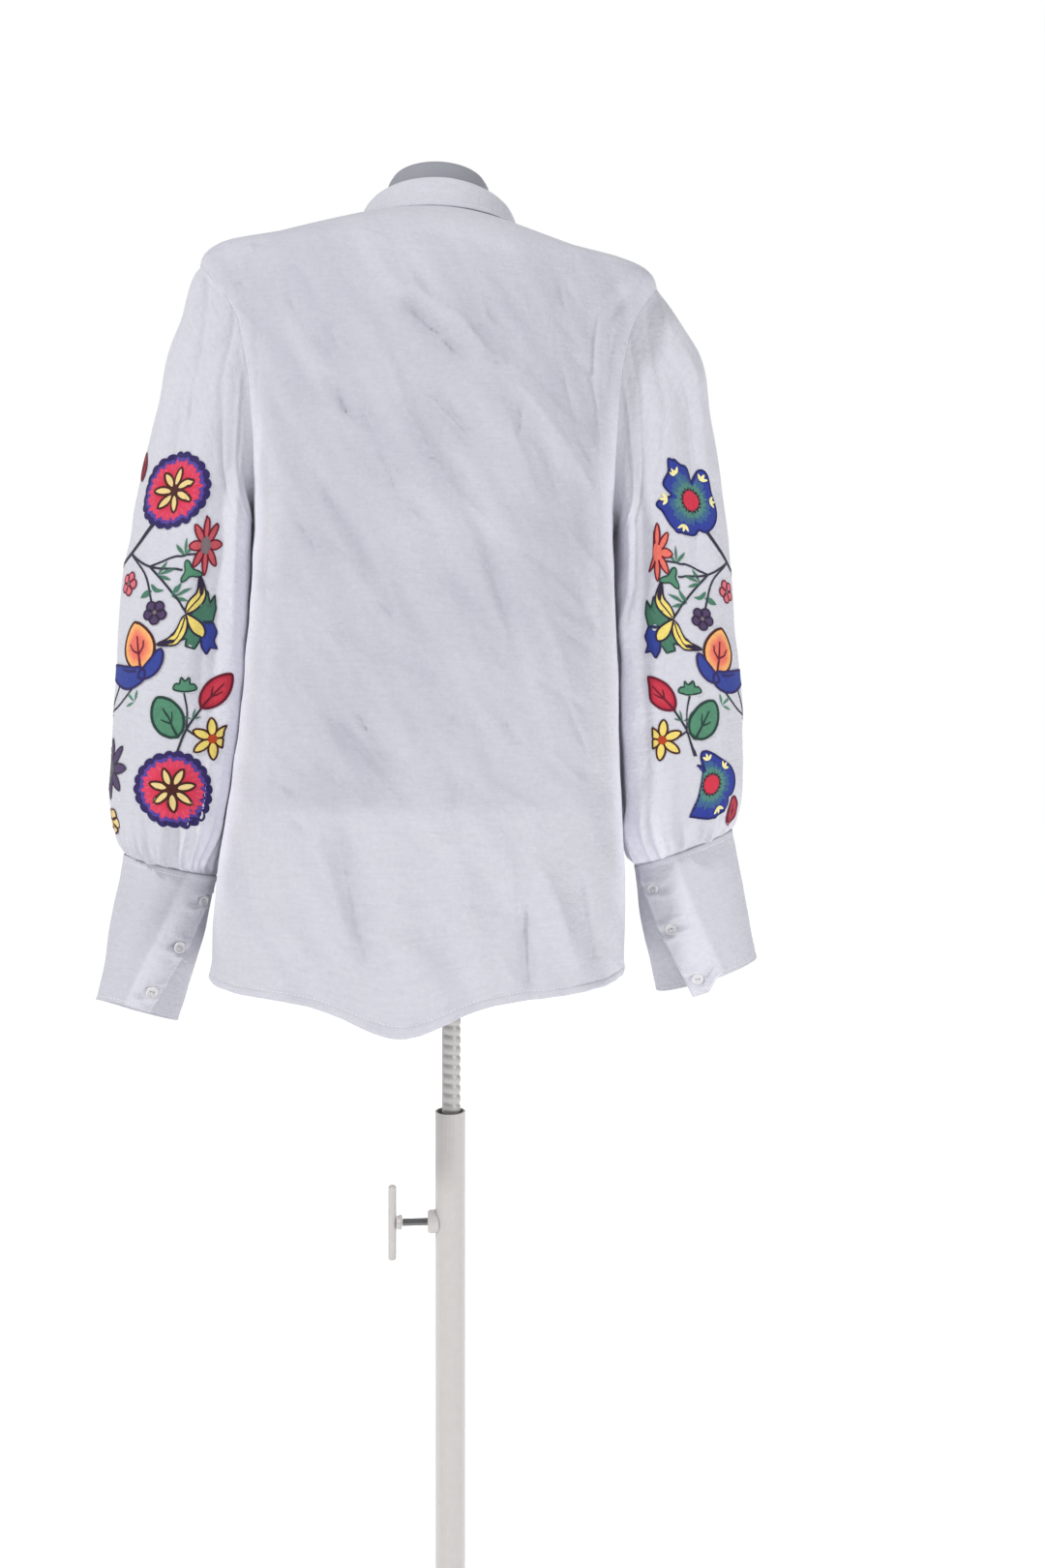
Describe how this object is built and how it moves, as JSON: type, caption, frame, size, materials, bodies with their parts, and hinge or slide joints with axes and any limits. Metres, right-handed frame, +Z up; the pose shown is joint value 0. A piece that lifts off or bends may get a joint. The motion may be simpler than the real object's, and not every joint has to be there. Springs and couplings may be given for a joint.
{
  "type": "blouse on a dress form stand",
  "caption": "Long-sleeved blouse with deep buttoned cuffs and a shirt-tail hem, on a limbless dress form with a height-adjustable stand.",
  "frame": {"origin": "middle of the base plate's underside, on the pole's axis", "axes": "+Z up along the pole; the blouse's back faces -Y; the wearer's right side is at +X"},
  "size_m": [0.5386, 0.32, 1.439],
  "materials": {
    "white_cloth": "soft thin cotton",
    "pearl_button": "pearly",
    "grey_form": "smooth jersey",
    "light_paint": "satin",
    "ridged_rod": "satin",
    "dark_steel": "satin"
  },
  "bodies": {
    "stand": {"base_plate": "light_paint", "pole_socket": "light_paint", "pole_tube": "light_paint", "clamp_boss": "light_paint"},
    "clamp": {"clamp_screw": "dark_steel", "clamp_hub": "light_paint", "clamp_bar": "light_paint"},
    "upper": {"height_rod": "ridged_rod", "dress_form": "grey_form", "back": "white_cloth", "front_left": "white_cloth", "front_right": "white_cloth", "button_band": "white_cloth", "collar_stand": "white_cloth", "collar_fall": "white_cloth", "sleeve_left": "white_cloth", "sleeve_right": "white_cloth", "cuff_left": "white_cloth", "cuff_right": "white_cloth", "button_front_1": "pearl_button", "button_front_2": "pearl_button", "button_front_3": "pearl_button", "button_front_4": "pearl_button", "button_front_5": "pearl_button", "button_front_6": "pearl_button", "button_collar": "pearl_button", "button_cuff_left_1": "pearl_button", "button_cuff_left_2": "pearl_button", "button_cuff_left_3": "pearl_button", "button_cuff_right_1": "pearl_button", "button_cuff_right_2": "pearl_button", "button_cuff_right_3": "pearl_button"}
  },
  "joints": [
    {"name": "height", "type": "slide", "parent": "stand", "child": "upper", "axis": [0, 0, 1], "range_m": [-0.2, 0.24]},
    {"name": "clamp_turn", "type": "hinge", "parent": "stand", "child": "clamp", "pos_m": [0, 0, 0.583], "axis": [-1, 0, 0], "range_deg": [0, 360]}
  ]
}
